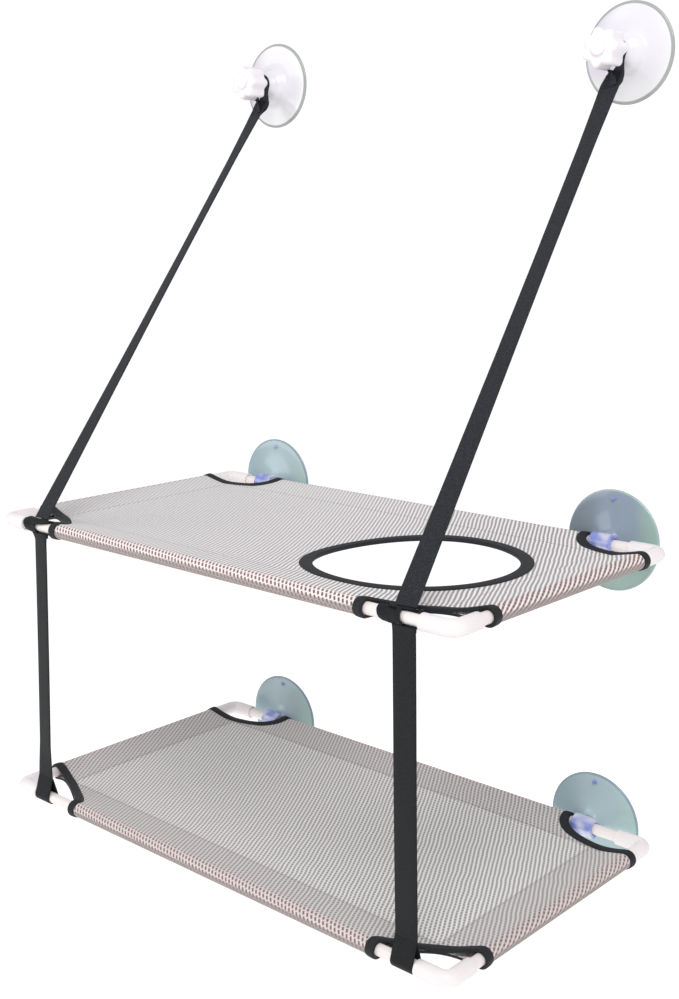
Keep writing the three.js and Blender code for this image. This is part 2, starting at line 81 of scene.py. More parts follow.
def wire(node, inputs):
    """Sets a node's sockets, by name or number, each to a value or to the node or output that feeds it."""
    for key, value in inputs.items():
        if isinstance(value, bpy.types.Node):
            value = next(output for output in value.outputs if output.enabled)
        if isinstance(value, bpy.types.NodeSocket):
            node.id_data.links.new(value, node.inputs[key])
        else:
            node.inputs[key].default_value = value
    return node


def feed(owner, sockets):
    """Sets the sockets of a material's shader."""
    wire(owner.node_tree.nodes["Principled BSDF"], sockets)


def shaded(name, sockets):
    """A new material with one Principled shader, whose sockets are set by name."""
    made = bpy.data.materials.new(name)
    made.use_nodes = True
    feed(made, sockets)
    return made


def add(owner, kind, inputs=None, **settings):
    """Adds one node with its settings and links."""
    made = owner.node_tree.nodes.new("ShaderNode" + kind)
    for key, value in settings.items():
        setattr(made, key, value)
    return wire(made, inputs or {})


lens_length = 47.98
camera_place = (0.9036, -1.1594, 0.3132)
looks_down = 11.72
looks_left = 41.84
camera_data = bpy.data.cameras.new("camera")
camera_data.sensor_width = 36
camera_data.lens = lens_length
camera = bpy.data.objects.new("camera", camera_data)
camera.location = camera_place
camera.rotation_euler = (math.radians(90 - looks_down), 0, math.radians(looks_left))
bpy.context.collection.objects.link(camera)
bpy.context.scene.camera = camera
bpy.context.scene.view_settings.view_transform = "Standard"

studio = bpy.data.worlds.new("white studio")
studio.use_nodes = True
surround_light = 0.62
backdrop_light = 1.05
seen = add(studio, "LightPath").outputs["Is Camera Ray"]
strength = add(studio, "MapRange", {"Value": seen, "To Min": surround_light, "To Max": backdrop_light})
wire(studio.node_tree.nodes["Background"], {"Color": linear("#ffffff"), "Strength": strength})
bpy.context.scene.world = studio

lamps = {
    "key": {"place": (1.3, -1.5, 2.1), "aim": (0, -0.2, 0.1), "size": 1.6, "power": 42},
    "fill": {"place": (-1.6, -1.7, 0.6), "aim": (0, -0.2, 0.0), "size": 1.4, "power": 10},
}
for lamp_name, lamp in lamps.items():
    lamp_data = bpy.data.lights.new(lamp_name, "AREA")
    lamp_data.size = lamp["size"]
    lamp_data.energy = lamp["power"]
    lamp_object = bpy.data.objects.new(lamp_name, lamp_data)
    lamp_object.location = lamp["place"]
    away = np.subtract(lamp["place"], lamp["aim"])
    lamp_object.rotation_euler = (
        math.atan2(math.hypot(away[0], away[1]), away[2]), 0, math.atan2(away[0], -away[1]))
    bpy.context.collection.objects.link(lamp_object)

floor_drop = 0.45
floor_size = 12
floor_mesh = bpy.data.meshes.new("floor")
edge = floor_size / 2
floor_level = cad_box[0][2] - floor_drop
floor_mesh.from_pydata([(-edge, -edge, floor_level), (edge, -edge, floor_level), (edge, edge, floor_level),
                        (-edge, edge, floor_level)], [], [(0, 1, 2, 3)])
floor = bpy.data.objects.new("floor", floor_mesh)
bpy.context.collection.objects.link(floor)
floor_mesh.materials.append(shaded("pale floor", {
    "Base Color": linear("#f4f3f2"), "Roughness": 0.9,
    "Emission Color": linear("#ffffff"), "Emission Strength": 0.45}))


# Frame tubes: eight thin steel tubes, powder-coated white, a little slimmer than their CAD nodes. Their ends
# are pushed into the corner elbows, so that only short stretches show, in the cut-outs of the cloth.
def surface(name, grid, loop=False, ring=False, caps=False, across=None, along=None):
    """A mesh through a grid of points, rows by columns: a quad a cell.

    loop joins the last column to the first, ring the last row to the first, and caps close the first and last
    rows. across and along give the UV of the columns and rows in metres, one value more where they close.
    """
    rows, columns = grid.shape[:2]
    i, j = np.meshgrid(np.arange(rows - (not ring)), np.arange(columns - (not loop)), indexing="ij")
    i, j = i.ravel(), j.ravel()
    down, right = (i + 1) % rows, (j + 1) % columns
    corners = [i * columns + j, i * columns + right, down * columns + right, down * columns + j]
    faces = np.stack(corners, -1).tolist()
    if caps:
        faces += [list(range(columns))[::-1], [(rows - 1) * columns + k for k in range(columns)]]
    mesh = bpy.data.meshes.new(name)
    mesh.from_pydata(grid.reshape(-1, 3).tolist(), [], faces)
    if across is not None:
        u = np.asarray(across)[np.stack([j, j + 1, j + 1, j], -1)].ravel()
        v = np.asarray(along)[np.stack([i, i, i + 1, i + 1], -1)].ravel()
        flat = np.zeros((len(mesh.loops), 2), np.float32)
        flat[:len(u)] = np.stack([u, v], -1)
        mesh.uv_layers.new(name="flat").data.foreach_set("uv", flat.ravel())
    return tidy(mesh)


def tidy(mesh, sharp=38, outwards=True):
    """Merges points that coincide, turns the faces outwards and shades all but the sharp edges smooth."""
    same_spot = 2e-6
    shape = bmesh.new()
    shape.from_mesh(mesh)
    bmesh.ops.remove_doubles(shape, verts=shape.verts, dist=same_spot)
    if outwards:
        bmesh.ops.recalc_face_normals(shape, faces=shape.faces)
    shape.to_mesh(mesh)
    shape.free()
    mesh.shade_smooth()
    mesh.set_sharp_from_angle(angle=math.radians(sharp))
    return mesh


def joined(name, meshes):
    """One mesh from several."""
    shape = bmesh.new()
    for part in meshes:
        shape.from_mesh(part)
    whole = bpy.data.meshes.new(name)
    shape.to_mesh(whole)
    shape.free()
    return whole


def fitted(name, mesh, material, body, nodes):
    """A piece of that mesh and material, which rides on a body and stands for its CAD nodes."""
    piece = bpy.data.objects.new(name, mesh)
    bpy.context.collection.objects.link(piece)
    mesh.materials.clear()
    mesh.materials.append(material)
    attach(piece, body)
    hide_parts(*nodes)
    return piece


def turned(profile, axis, centre, steps):
    """A profile of (distance along the axis, radius) turned in a circle round an axis through centre."""
    angle = np.linspace(0, 2 * math.pi, steps, endpoint=False)
    away, radius = np.array(profile, float).T
    rings = [np.repeat(away[:, None], steps, 1), radius[:, None] * np.cos(angle),
             radius[:, None] * np.sin(angle)]
    order = {"x": (0, 1, 2), "y": (1, 0, 2), "z": (1, 2, 0)}[axis]
    return np.stack([rings[k] for k in order], -1) + np.array(centre)


def middle_of(node):
    """The middle of a CAD node's box."""
    return [(low + high) / 2 for low, high in zip(*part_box(node))]


def roughened(owner, size, detail, strength, depth):
    """Gives a finish its fine relief: noise of that size in metres, as a bump of that depth."""
    noise = add(owner, "TexNoise", {"Vector": add(owner, "TexCoord").outputs["Object"], "Scale": 1 / size,
                                    "Detail": detail})
    feed(owner, {"Normal": add(owner, "Bump", {"Strength": strength, "Distance": depth, "Height": noise})})


# Powder coat on steel: a satin white with the faint ripple of baked powder and a touch of warmth
powder = shaded("white powder coat", {"Base Color": linear("#ebe3e1"), "Roughness": 0.34,
                                      "Coat Weight": 0.15})
roughened(powder, size=0.0018, detail=2.0, strength=0.05, depth=0.0002)

levels = ("upper", "lower")
tube_wall = 0.0012
slimmer = 0.0006
tube_facets = 48
for level in levels:
    for side in ("front", "back", "left", "right"):
        low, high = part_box(f"{level}_{side}_tube")
        size, middle = high - low, (low + high) / 2
        axis = "x" if side in ("front", "back") else "y"
        half, radius = (size.x if axis == "x" else size.y) / 2, size.z / 2 - slimmer
        bore = radius - tube_wall
        wall = [(-half, bore), (-half, radius), (half, radius), (half, bore)]
        name = f"{level}_{side}_steel_tube"
        tube = surface(name, turned(wall, axis, middle, tube_facets), loop=True, ring=True)
        fitted(name, tube, powder, f"{level}_deck", [f"{level}_{side}_tube"])

bare_radius = radius
tube_radius = radius + slimmer


# Corner elbows: injection-moulded white plastic pipe bends, 16 mm across, with a blind socket 24 mm deep in
# each arm, which a tube is pushed into. The moulding is round outside the corner and almost sharp inside it.

# Moulded plastic: half matt, a little light comes through its edges, and it has the fine grain of its mould
moulded = shaded("moulded white plastic", {"Base Color": linear("#eee7e8"), "Roughness": 0.42,
                                           "Subsurface Weight": 0.08, "Subsurface Scale": 0.004,
                                           "Subsurface Radius": (1.0, 0.6, 0.5)})
roughened(moulded, size=0.0009, detail=3.0, strength=0.04, depth=0.0001)

bend_radius = 0.0092
elbow_skin = 0.0002
socket_depth = 0.024
socket_gap = 0.0002
lip_round = 0.0007
lip_share = 0.3
bend_rows = 17
elbow_facets = 48
for level in levels:
    for corner in ("front_left", "front_right", "back_left", "back_right"):
        low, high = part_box(f"{level}_{corner}_elbow")
        radius = (high.z - low.z) / 2 - elbow_skin
        to_x = 1 if "left" in corner else -1
        to_y = 1 if "front" in corner else -1
        inset = radius + elbow_skin
        heel = np.array([low.x + inset if to_x > 0 else high.x - inset,
                         low.y + inset if to_y > 0 else high.y - inset, (low.z + high.z) / 2])
        arm = high.x - low.x - inset
        arm_x, arm_y, up = np.array([to_x, 0, 0]), np.array([0, to_y, 0]), np.array([0, 0, 1])
        straight = arm - bend_radius
        turn = bend_radius * math.pi / 2
        whole = 2 * straight + turn
        # The socket and its lip as distance along the bent axis and radius, then the outside, and back
        bend_stations = np.linspace(straight, straight + turn, bend_rows)
        outside = np.concatenate([[lip_round], bend_stations, [whole - lip_round]])
        bore = bare_radius + socket_gap
        mouth = np.array([socket_depth, socket_depth, lip_round, 0, 0, lip_share * lip_round])
        lip = np.array([0, bore, bore, bore + lip_round / 2, radius - lip_round,
                        radius - lip_share * lip_round])
        way = np.concatenate([mouth, outside, whole - mouth[::-1]])
        reach = np.concatenate([lip, np.full(len(outside), radius), lip[::-1]])
        bend = np.clip((way - straight) / bend_radius, 0, math.pi / 2)
        before, after = np.minimum(way, straight), np.maximum(way - straight - turn, 0)
        path = heel + (arm - before - bend_radius * np.sin(bend))[:, None] * arm_x
        path = path + (after + bend_radius * (1 - np.cos(bend)))[:, None] * arm_y
        outward = -np.sin(bend)[:, None] * arm_x - np.cos(bend)[:, None] * arm_y
        angle = np.linspace(0, 2 * math.pi, elbow_facets, endpoint=False)
        rings = path[:, None] + reach[:, None, None] * (
            np.cos(angle)[:, None] * outward[:, None] + np.sin(angle)[:, None] * up)
        name = f"{level}_{corner}_pipe_bend"
        fitted(name, surface(name, rings, loop=True), moulded, f"{level}_deck",
               [f"{level}_{corner}_elbow"])


# Mesh decks: one sheet of knitted polyester mesh a deck. Each side goes round its tube and 42 mm back
# underneath, where it is sewn down as a sleeve, and the four corners are cut out to keep the elbows free.
deck_half = -(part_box("upper_left_tube")[0].x + tube_radius)
back_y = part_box("upper_back_tube")[1].y - tube_radius
deck_depth = back_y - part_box("upper_front_tube")[0].y - tube_radius
sleeve_radius = 0.00775
cloth_thickness = 0.0012
cloth_sag = 0.007
hem_width = 0.042
closed_width = 0.026
closing_run = 0.028
hole_radius = 0.100
hole_x = 0.138
hole_to_back = 0.175
# Each corner's cut: its length along X, its depth along Y, and the share by which it bows into the deck
cuts = {
    "upper": {"front_left": (0.082, 0.046, 0.42), "front_right": (0.09125, 0.046, 0.2),
              "back_left": (0.081, 0.035, 0.6), "back_right": (0.081, 0.035, 0.6)},
    "lower": {"front_left": (0.09405, 0.046, 0.2), "front_right": (0.07605, 0.046, 0.2),
              "back_left": (0.089, 0.035, 0.6), "back_right": (0.089, 0.035, 0.6)},
}
cell = 0.0032


def cut_line(cut, share):
    """A corner's cut as (u, v) from the corner, and its tangent: a cubic Bezier curve from (length, 0) to
    (0, depth)."""
    length, depth, bulge = cut
    hold = np.array([(length, 0), (length, bulge * depth), (bulge * length, depth), (0, depth)])
    t = np.asarray(share, float)[:, None]
    point = ((1 - t) ** 3 * hold[0] + 3 * (1 - t) ** 2 * t * hold[1]
             + 3 * (1 - t) * t ** 2 * hold[2] + t ** 3 * hold[3])
    tangent = ((1 - t) ** 2 * (hold[1] - hold[0]) + 2 * (1 - t) * t * (hold[2] - hold[1])
               + t ** 2 * (hold[3] - hold[2]))
    return point, tangent / np.linalg.norm(tangent, axis=1, keepdims=True)


def from_corner(x, y, corner):
    """Distances (u, v) inwards from a corner of the deck."""
    u = deck_half + (x if "left" in corner else -x)
    v = deck_depth + y if "front" in corner else -y
    return np.stack([u, v], -1)


def hem_widths(x, y, level):
    """Width of the hem's slope at each place: it narrows near a cut, where the tape closes the two layers."""
    nearest = np.full(np.shape(x), hem_width)
    for corner, cut in cuts[level].items():
        line = cut_line(cut, np.linspace(0, 1, 60))[0]
        gap = np.linalg.norm(from_corner(x, y, corner)[..., None, :] - line, axis=-1).min(-1)
        nearest = np.minimum(nearest, gap)
    share = np.minimum(1, nearest / closing_run)
    return closed_width + (hem_width - closed_width) * share * share * (3 - 2 * share)


def hem_height(away, width):
    """A hem's outer face over the tube axes: a circle round the tube, then a slope down to two layers."""
    fall = sleeve_radius - cloth_thickness
    slope = np.arctan2(fall, np.sqrt(width ** 2 - fall ** 2))
    crown = np.sqrt(np.maximum(0, sleeve_radius ** 2 - away ** 2))
    line = (sleeve_radius / np.sin(slope) - away) * np.tan(slope)
    height = np.where(away >= sleeve_radius * np.sin(slope), line, crown)
    return np.where(away < hem_width, np.maximum(height, cloth_thickness), height)


def sag(x, y):
    """How far the cloth hangs below its hems: a cosine along each side, nothing on the hems."""
    share_x = np.minimum(1, np.abs(x) / (deck_half - hem_width))
    share_y = np.minimum(1, np.abs(y + deck_depth / 2) / (deck_depth / 2 - hem_width))
    return cloth_sag * np.cos(math.pi / 2 * share_x) * np.cos(math.pi / 2 * share_y)


def hems_top(x, y, level):
    """Height of the highest hem over the tube axes."""
    width = hem_widths(x, y, level)
    away = [deck_half - np.abs(x), -y, deck_depth + y]
    return np.maximum.reduce([hem_height(np.maximum(0, distance), width) for distance in away])


def cloth_top(x, y, level):
    """Height of the cloth's upper face over the tube axes: the higher of the sagging sheet and the hems."""
    return np.maximum(cloth_thickness / 2 - sag(x, y), hems_top(x, y, level))


def grid_lines(low, high, fixed):
    """Grid lines from low to high with cells of about 3 mm, and one on each fixed place."""
    marks = sorted({low, high, *fixed})
    runs = [np.linspace(a, b, max(2, round((b - a) / cell) + 1))[:-1] for a, b in zip(marks, marks[1:])]
    return np.concatenate([*runs, [high]])


def quads_of(rows, columns):
    """The quads of a grid of points, each as the numbers of its four points."""
    i, j = (a.ravel() for a in np.meshgrid(np.arange(rows - 1), np.arange(columns - 1), indexing="ij"))
    first, below = i * columns + j, (i + 1) * columns + j
    return np.stack([first, below, below + 1, first + 1], -1)


def deck_sheet(name, level):
    """The sheet of one deck and its flat area: cloth_top over a grid trimmed at the cuts and the hole, a half
    turn round each tube, and the flaps underneath. UV is the place on the flat cloth in metres."""
    half, hem = deck_half, deck_half - hem_width
    ends = {corner: (half - cut[0]) * (-1 if "left" in corner else 1) for corner, cut in cuts[level].items()}
    front_v, back_v = cuts[level]["front_left"][1] - deck_depth, -cuts[level]["back_left"][1]
    xs = grid_lines(-half, half, [-hem, hem, *ends.values()])
    ys = grid_lines(-deck_depth, 0, [-hem_width, hem_width - deck_depth, front_v, back_v])
    x, y = np.meshgrid(xs, ys, indexing="ij")
    cells = quads_of(*x.shape)
    place = np.stack([x.ravel(), y.ravel()], -1)
    centre = place[cells].mean(1)
    kept = np.ones(len(cells), bool)
    trims = []
    for corner, cut in cuts[level].items():
        line = cut_line(cut, np.linspace(0, 1, 400))[0]
        u, v = from_corner(centre[:, 0], centre[:, 1], corner).T
        inside = u < np.interp(v, line[:, 1], line[:, 0], right=-1)
        trims.append((corner, line, inside))
        kept &= ~inside
    if level == "upper":
        inside = np.hypot(centre[:, 0] - hole_x, centre[:, 1] + hole_to_back) < hole_radius
        trims.append(("hole", None, inside))
        kept &= ~inside
    for corner, line, inside in trims:
        on_edge = np.intersect1d(cells[inside], cells[kept])
        spot = place[on_edge]
        if corner == "hole":
            middle = np.array([hole_x, -hole_to_back])
            ray = spot - middle
            place[on_edge] = middle + ray * hole_radius / np.linalg.norm(ray, axis=1, keepdims=True)
            continue
        near = from_corner(spot[:, 0], spot[:, 1], corner)
        closest = line[np.argmin(((near[:, None] - line[None]) ** 2).sum(-1), 1)]
        place[on_edge, 0] = (half - closest[:, 0]) * (-1 if "left" in corner else 1)
        place[on_edge, 1] = closest[:, 1] - deck_depth if "front" in corner else -closest[:, 1]

    top = cells[kept]
    top_points = np.column_stack([place, cloth_top(place[:, 0], place[:, 1], level)])
    sides = np.stack([half + centre[:, 0], half - centre[:, 0], deck_depth + centre[:, 1], -centre[:, 1]], -1)
    nearest = sides.argmin(1)
    flap = kept & (sides.min(1) < hem_width)
    bottom = cells[flap][:, ::-1] + len(place)
    under = -hems_top(place[:, 0], place[:, 1], level)
    points = [top_points, np.column_stack([place, under])]
    faces = [top, bottom]
    flats = [place[top]]
    wrap = math.pi * sleeve_radius
    flat_under = place[bottom - len(place)]
    which = nearest[flap]
    past = {0: (0, -2 * half - wrap), 1: (0, 2 * half + wrap), 2: (1, -2 * deck_depth - wrap), 3: (1, wrap)}
    for side, (column, mirror) in past.items():
        flat_under[which == side, :, column] = mirror - flat_under[which == side, :, column]
    flats.append(flat_under)

    # The half turns round the tubes, on the left, right, front and back
    bend_steps = 14
    slack = 1e-9
    turn = np.linspace(0, math.pi, bend_steps + 1)
    out, flat_out = sleeve_radius * np.sin(turn), sleeve_radius * turn
    first = 2 * len(place)
    for side in range(4):
        way = 1 if side in (1, 3) else -1
        if side < 2:
            run = ys[(ys >= front_v - slack) & (ys <= back_v + slack)]
            edges = [way * (half + out), way * (half + flat_out)]
        else:
            end = "front" if side == 2 else "back"
            run = xs[(xs >= ends[end + "_left"] - slack) & (xs <= ends[end + "_right"] + slack)]
            start = deck_depth if side == 2 else 0
            edges = [way * out - start, way * flat_out - start]
        ran = np.repeat(run[:, None], len(turn), 1)
        bent, flat_bent = (np.repeat(edge[None], len(run), 0) for edge in edges)
        height = np.repeat(sleeve_radius * np.cos(turn)[None], len(run), 0)
        spots, flat = ([bent, ran], [flat_bent, ran]) if side < 2 else ([ran, bent], [ran, flat_bent])
        points.append(np.stack([*spots, height], -1).reshape(-1, 3))
        quads = quads_of(len(run), len(turn))
        if side in (1, 2):
            quads = quads[:, ::-1]
        faces.append(first + quads)
        flats.append(np.stack(flat, -1).reshape(-1, 2)[quads])
        first += len(run) * len(turn)
    mesh = bpy.data.meshes.new(name)
    mesh.from_pydata(np.concatenate(points).tolist(), [], np.concatenate(faces).tolist())
    corners = np.concatenate(flats)
    mesh.uv_layers.new(name="flat").data.foreach_set("uv", corners.astype(np.float32).ravel())
    one, other = corners[:, 2] - corners[:, 0], corners[:, 3] - corners[:, 1]
    flat_area = 0.5 * np.abs(one[:, 0] * other[:, 1] - one[:, 1] * other[:, 0]).sum()
    shape = bmesh.new()
    shape.from_mesh(mesh)
    loose = [v for v in shape.verts if not v.link_faces]
    bmesh.ops.delete(shape, geom=loose, context="VERTS")
    shape.to_mesh(mesh)
    shape.free()
    return tidy(mesh, sharp=60, outwards=False), float(flat_area)


def knit(name, light, dark, lean, joining, contrast_left, contrast_right, hem_shade):
    """Knitted mesh on its flat UV: slanting rows of dark dashes 4 mm apart, darker double hems and seams, and
    painted shade on the lower half of each sleeve where it turns under its tube.

    lean is the rows' angle from Y in radians, joining is how far dashes join into lines, and the contrast
    runs from the left end of the deck to its right end.
    """
    made = shaded(name, {"Roughness": 0.85, "Sheen Weight": 0.2, "Sheen Roughness": 0.5})
    node = partial(add, made)
    row_pitch = 0.0041
    dash_pitch = 0.0052
    stitch = 0.0070
    seam_inset = 0.003
    wander_size = 0.03125
    wander_share = 0.65
    mean_tone = 0.36
    flat = node("UVMap", uv_map="flat")
    x, y, _ = node("SeparateXYZ", {0: flat}).outputs
    wander = node("TexNoise", {"Vector": flat, "Scale": 1 / wander_size, "Detail": 1.0})

    # The place across the slanting rows and along them, in pitches; each row shifts its dashes by a half
    ways = ((math.cos(lean), math.sin(lean), row_pitch), (-math.sin(lean), math.cos(lean), dash_pitch))
    from_x = [node("Math", {0: x, 1: x_share / pitch}, operation="MULTIPLY") for x_share, _, pitch in ways]
    across, along = (node("Math", {0: y, 1: y_share / pitch, 2: part}, operation="MULTIPLY_ADD")
                     for part, (_, y_share, pitch) in zip(from_x, ways))
    row = node("Math", {0: wander, 1: wander_share, 2: across}, operation="MULTIPLY_ADD")
    number = node("Math", {0: row}, operation="FLOOR")
    dash = node("Math", {0: number, 1: 0.5, 2: along}, operation="MULTIPLY_ADD")

    # How far a place lies outside the tubes' axes along X, along Y and at most, and how far from the seams
    from_middle = node("Math", {0: y, 1: deck_depth / 2}, operation="ADD")
    out_x, out_y = (
        node("Math", {0: node("Math", {0: away}, operation="ABSOLUTE"), 1: half}, operation="SUBTRACT")
        for away, half in ((x, deck_half), (from_middle, deck_depth / 2)))
    out = node("Math", {0: out_x, 1: out_y}, operation="MAXIMUM")
    in_hem = node("Math", {0: out, 1: hem_width}, operation="ADD")
    past_seam = [node("Math", {0: away, 1: hem_width - seam_inset}, operation="ADD")
                 for away in (out_x, out_y)]
    beside = [node("Math", {0: away}, operation="ABSOLUTE") for away in past_seam]
    to_seam = node("Math", dict(enumerate(beside)), operation="MINIMUM")
    diagonal = node("Math", {0: x, 1: y}, operation="ADD")
    stitches = node("Math", {0: diagonal, 1: stitch}, operation="DIVIDE")
    to_row, to_dash, to_stitch = (node("Math", {0: count, 1: 0.5}, operation="PINGPONG")
                                  for count in (row, dash, stitches))

    # Masks, each of a value that runs smoothly from where there is nothing of it to where it is full
    hollow, tick, on_tube, turned_over, turned_under, along_x, hem, seam, thread = (
        node("MapRange", {"Value": value, "From Min": none, "From Max": full},
             interpolation_type="SMOOTHSTEP")
        for value, none, full in (
            (to_row, 0.14, 0.36), (to_dash, 0.05, 0.24), (out, 0.026, 0.019), (out, -0.006, 0.002),
            (out, 0.0095, 0.0120), (out_y, -0.006, 0.002), (in_hem, -0.0002, 0.0006),
            (to_seam, 0.0011, 0.0005), (to_stitch, 0.14, 0.22)))
    # The upper half of a sleeve's turn round its tube, its lower half for the painted shade, and the seams'
    # stitches
    roll, below, stitched = (
        node("Math", {0: one, 1: other}, operation="MULTIPLY")
        for one, other in ((turned_over, on_tube), (turned_under, on_tube), (seam, thread)))

    # Dashes join into lines by that share, but stay apart on the front and back tubes
    parted = node("Math", {0: along_x, 1: joining - 0.05}, operation="MULTIPLY")
    plain = node("Math", {0: joining, 1: parted}, operation="SUBTRACT")
    dashed = node("Math", {0: tick, 1: plain}, operation="MAXIMUM")
    pattern = node("Math", {0: hollow, 1: dashed}, operation="MULTIPLY")
    along_deck = node("MapRange", {"Value": x, "From Min": -0.30, "From Max": 0.20, "To Min": contrast_left,
                                   "To Max": contrast_right}, interpolation_type="SMOOTHSTEP")
    on_roll = node("Math", {0: roll, 1: 0.95}, operation="MULTIPLY")
    contrast = node("Math", {0: along_deck, 1: on_roll}, operation="MAXIMUM")
    from_mean = node("Math", {0: pattern, 1: mean_tone}, operation="SUBTRACT")
    share = node("Math", {0: from_mean, 1: contrast, 2: mean_tone}, operation="MULTIPLY_ADD")
    yarn, hole = (node("Mix", {0: roll, "A": linear(flat_tint), "B": linear(roll_tint)}, data_type="RGBA")
                  for flat_tint, roll_tint in ((light, "#f1e4e4"), (dark, "#6a5452")))
    colour = node("Mix", {0: share, "A": yarn, "B": hole}, data_type="RGBA")
    # Over the yarn: darker double hems, painted shade under the tubes' sleeves, and dark stitches on the
    # seams
    for mask, most, tint in ((hem, hem_shade, "#8b7e7f"), (below, 0.75, "#857a77"),
                             (stitched, 0.4, "#3a3436")):
        share = node("Math", {0: mask, 1: most}, operation="MULTIPLY")
        colour = node("Mix", {0: share, "A": colour, "B": linear(tint)}, data_type="RGBA")
    raised = node("Math", {0: 1.0, 1: pattern}, operation="SUBTRACT")
    relief = node("Bump", {"Strength": 0.6, "Distance": 0.0006, "Height": raised})
    feed(made, {"Base Color": colour, "Normal": relief})
    return made


# Both decks are the same cloth; the lower one's darker yarn and gaps are painted shade from the deck above
cloth_materials = {
    "upper": knit("upper mesh cloth", "#f4f1f2", "#8a8285", math.radians(29), 0.75, 0.25, 1.0, 0.0),
    "lower": knit("lower mesh cloth", "#e6e4e3", "#858180", math.radians(29), 0.45, 0.85, 0.95, 0.28),
}
for level in levels:
    sheet_mesh, flat_area = deck_sheet(f"{level}_mesh_cloth", level)
    lift = middle_of(f"{level}_front_tube")[2]
    sheet_mesh.transform(Matrix.Translation((0, back_y, lift)))
    cloth = fitted(f"{level}_mesh_cloth", sheet_mesh, cloth_materials[level], f"{level}_deck",
                   [f"{level}_mesh_panel"])
    body = cloth.modifiers.new("cloth thickness", "SOLIDIFY")
    body.thickness = 0.8 * cloth_thickness
    body.offset = -1


# Bindings: black woven tape, folded over every cut edge as a border 10 mm wide, which goes on round the tube
# at both ends of a corner cut and back underneath. One more ring of it, 13 mm wide, binds the climbing hole.
def lengths(points, closed):
    """Running length along points in metres, and once round where they close."""
    steps = np.diff(np.concatenate([points, points[:1]]) if closed else points, axis=0)
    return np.concatenate([[0], np.cumsum(np.linalg.norm(steps, axis=-1))])


def swept(name, path, side, up, section, ring=False):
    """A closed section of (sideways, upwards) points, carried along a path by its side and up vectors."""
    section = np.broadcast_to(section, (len(path), *np.shape(section)[-2:]))
    grid = path[:, None] + section[..., :1] * side[:, None] + section[..., 1:] * up[:, None]
    return surface(name, grid, loop=True, ring=ring, caps=not ring,
                   across=lengths(section[len(path) // 2], True), along=lengths(path, ring))


def woven(name, colour, dark, rib, pick):
    """Narrow woven polyester: ribs across a band and picks along it, both in metres, over darker gaps."""
    made = shaded(name, {"Roughness": 0.6, "Specular IOR Level": 0.22})
    node = partial(add, made)
    fibre_size = 1 / 700
    place = node("SeparateXYZ", {0: node("UVMap", uv_map="flat")}).outputs
    u = node("Math", {0: place[0], 1: 1 / rib}, operation="MULTIPLY")
    v = node("Math", {0: place[1], 1: 1 / pick}, operation="MULTIPLY")
    rows = node("Math", {0: u, 1: 0.5}, operation="PINGPONG")
    shifted = node("Math", {0: v, 1: rows}, operation="ADD")
    picks = node("Math", {0: shifted, 1: 0.5}, operation="PINGPONG")
    weave = node("Math", {0: rows, 1: picks}, operation="MULTIPLY")
    depth = node("MapRange", {"Value": weave, "From Max": 0.25, "To Min": 0.0, "To Max": 1.0})
    mottle = node("TexNoise", {"Vector": node("TexCoord").outputs["Object"], "Scale": 1 / fibre_size,
                               "Detail": 2.0})
    glint = node("MapRange", {"Value": mottle, "From Min": 0.42, "From Max": 0.66, "To Min": 0.15,
                              "To Max": 1.0})
    share = node("Math", {0: depth, 1: glint}, operation="MULTIPLY")
    tone = node("Mix", {0: share, "A": linear(dark), "B": linear(colour)}, data_type="RGBA")
    relief = node("Bump", {"Strength": 0.5, "Distance": 0.0003, "Height": depth})
    feed(made, {"Base Color": tone, "Normal": relief})
    return made


tape_cloth = woven("black tape", "#3d4045", "#1b1d21", 0.0009, 0.0011)
tape_turn_points = 15
# The tape's outer outline as (inwards from the cut edge, upwards) in millimetres
tape_outside = np.array([
    (-0.55, -1.3), (-1.05, -1.35), (-1.35, -1.0), (-1.4, -0.2), (-1.25, 0.6), (-0.8, 1.2), (0.2, 1.5),
    (1.8, 1.5), (3.8, 1.4), (5.9, 1.25), (7.6, 1.0), (8.4, 0.7), (8.6, 0.4), (8.2, 0.1), (7.6, 0.05),
    (0.2, 0.05), (-0.4, -0.1)]) / 1000


def corner_path(level, corner):
    """A corner tape's path as (u, v, height), with its inward and upward vectors: round one tube, over the
    top, round the other tube and back underneath."""
    length, depth, _ = cuts[level][corner]
    around = np.linspace(0, math.pi, tape_turn_points)[1:-1]
    sine, cosine, none = np.sin(around), np.cos(around), np.zeros_like(around)
    point, slope = cut_line(cuts[level][corner], np.linspace(0, 1, 45))

    def rise(spot):
        x = (deck_half - spot[:, 0]) * (-1 if "left" in corner else 1)
        y = spot[:, 1] - deck_depth if "front" in corner else -spot[:, 1]
        return cloth_top(x, y, level)

    def eased(values):
        """A running mean over nine rows, so that the tape bends gently over the edge of a hem."""
        return np.convolve(np.pad(values, 4, mode="edge"), np.full(9, 1 / 9), mode="valid")

    reach = 0.0015
    slopes = [eased((rise(point + move) - rise(point - move)) / (2 * reach)) for move in np.eye(2) * reach]
    top = np.column_stack([point, np.maximum(rise(point), eased(rise(point)))])
    inward = np.column_stack([slope[:, 1], -slope[:, 0], slope[:, 1] * slopes[0] - slope[:, 0] * slopes[1]])
    upward = np.column_stack([-slopes[0], -slopes[1], np.ones(len(point))])
    inward[[0, -1], 2] = 0
    upward[[0, -1]] = (0, 0, 1)
    inward /= np.linalg.norm(inward, axis=1, keepdims=True)
    upward /= np.linalg.norm(upward, axis=1, keepdims=True)
    under = np.array([1, 1, -1])
    near = np.column_stack([none + length, -sleeve_radius * sine, sleeve_radius * cosine])[::-1]
    far = np.column_stack([-sleeve_radius * sine, none + depth, sleeve_radius * cosine])
    path = [near, top, far, (top * under)[::-1]]
    side = [np.column_stack([none + 1, none, none]), inward, np.column_stack([none, none + 1, none]),
            (inward * under)[::-1]]
    up = [np.column_stack([none, -sine, cosine])[::-1], upward, np.column_stack([-sine, none, cosine]),
          (upward * under)[::-1]]
    return [np.concatenate(rows) for rows in (path, side, up)]


